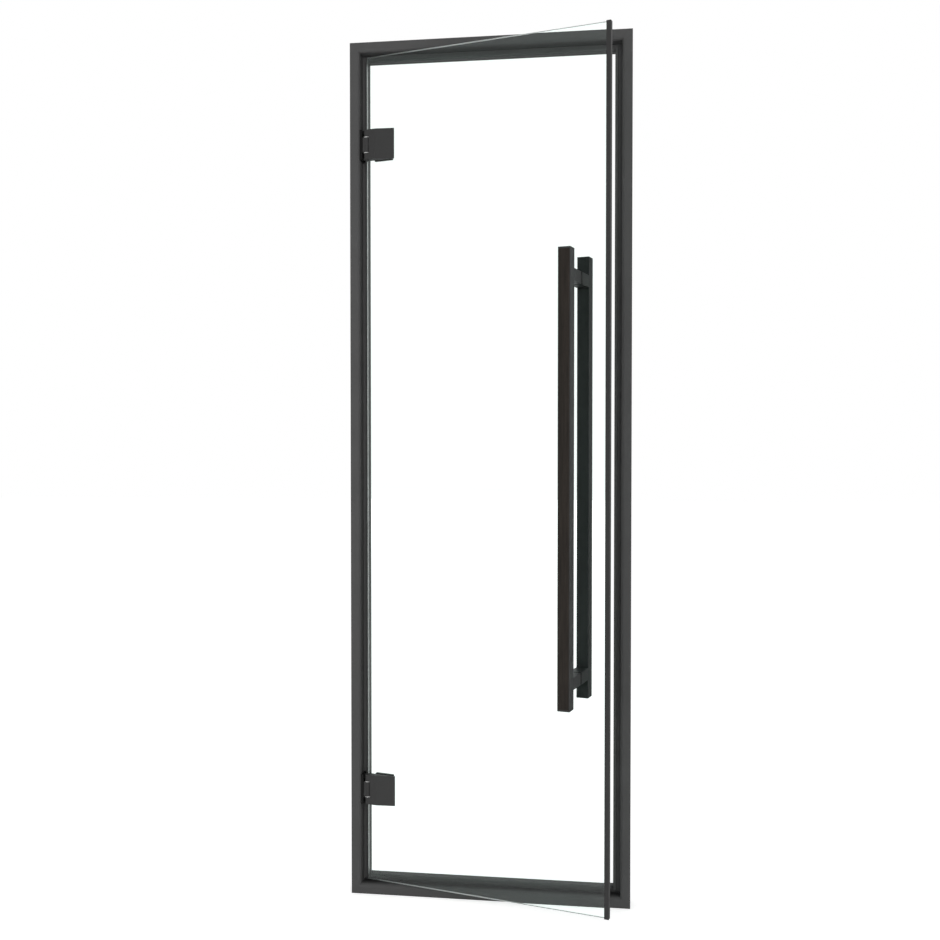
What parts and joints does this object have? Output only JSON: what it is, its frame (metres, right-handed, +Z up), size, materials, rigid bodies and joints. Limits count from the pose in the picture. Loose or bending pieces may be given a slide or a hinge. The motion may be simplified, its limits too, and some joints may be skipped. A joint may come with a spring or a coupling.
{
  "type": "steam room door",
  "caption": "Steam room door: a clear glass leaf in a slim dark metal frame, on side hinges, with a long straight pull handle on both faces.",
  "frame": {"origin": "middle of the sill's underside, at half the frame's depth", "axes": "+X along the sill from the hinge jamb to the latch jamb, -Y out of the front face that the leaf opens towards, +Z up"},
  "size_m": [0.68, 0.2505, 2.08],
  "materials": {
    "frame_coat": "matt dark grey powder coat",
    "seal_rubber": "matt dark grey silicone",
    "hinge_coat": "satin dark grey",
    "screw_steel": "satin stainless",
    "clear_glass": "clear toughened glass",
    "edge_strip": "matt dark grey",
    "handle_wood": "dark stained wood, matt oil",
    "handle_coat": "satin dark grey",
    "gasket_rubber": "matt black",
    "washer_nylon": "matt light grey"
  },
  "bodies": {
    "frame": {"hinge_jamb": "frame_coat", "latch_jamb": "frame_coat", "sill_rail": "frame_coat", "head_rail": "frame_coat", "hinge_side_seal": "seal_rubber", "latch_side_seal": "seal_rubber", "sill_seal": "seal_rubber", "head_seal": "seal_rubber", "lower_frame_hinge": "hinge_coat", "lower_plate_bottom_screw": "screw_steel", "lower_plate_top_screw": "screw_steel", "upper_frame_hinge": "hinge_coat", "upper_plate_bottom_screw": "screw_steel", "upper_plate_top_screw": "screw_steel"},
    "leaf": {"glass_pane": "clear_glass", "free_edge_profile": "edge_strip", "outer_handle_bar": "handle_coat", "handle_wood_inlay": "handle_wood", "inner_handle_bar": "handle_coat", "lower_outer_clamp": "hinge_coat", "lower_inner_clamp": "hinge_coat", "lower_outer_gasket": "gasket_rubber", "lower_inner_gasket": "gasket_rubber", "lower_clamp_screw": "screw_steel", "lower_hinge_pin": "screw_steel", "lower_bottom_washer": "washer_nylon", "lower_top_washer": "washer_nylon", "lower_outer_standoff": "handle_coat", "lower_inner_standoff": "handle_coat", "lower_outer_glass_washer": "gasket_rubber", "lower_inner_glass_washer": "gasket_rubber", "lower_handle_bolt": "screw_steel", "upper_outer_clamp": "hinge_coat", "upper_inner_clamp": "hinge_coat", "upper_outer_gasket": "gasket_rubber", "upper_inner_gasket": "gasket_rubber", "upper_clamp_screw": "screw_steel", "upper_hinge_pin": "screw_steel", "upper_bottom_washer": "washer_nylon", "upper_top_washer": "washer_nylon", "upper_outer_standoff": "handle_coat", "upper_inner_standoff": "handle_coat", "upper_outer_glass_washer": "gasket_rubber", "upper_inner_glass_washer": "gasket_rubber", "upper_handle_bolt": "screw_steel"}
  },
  "joints": [
    {"name": "leaf_swing", "type": "hinge", "parent": "frame", "child": "leaf", "pos_m": [-0.3, -0.015, 1.04], "axis": [0, 0, -1], "range_deg": [-14.5, 75.5]}
  ]
}
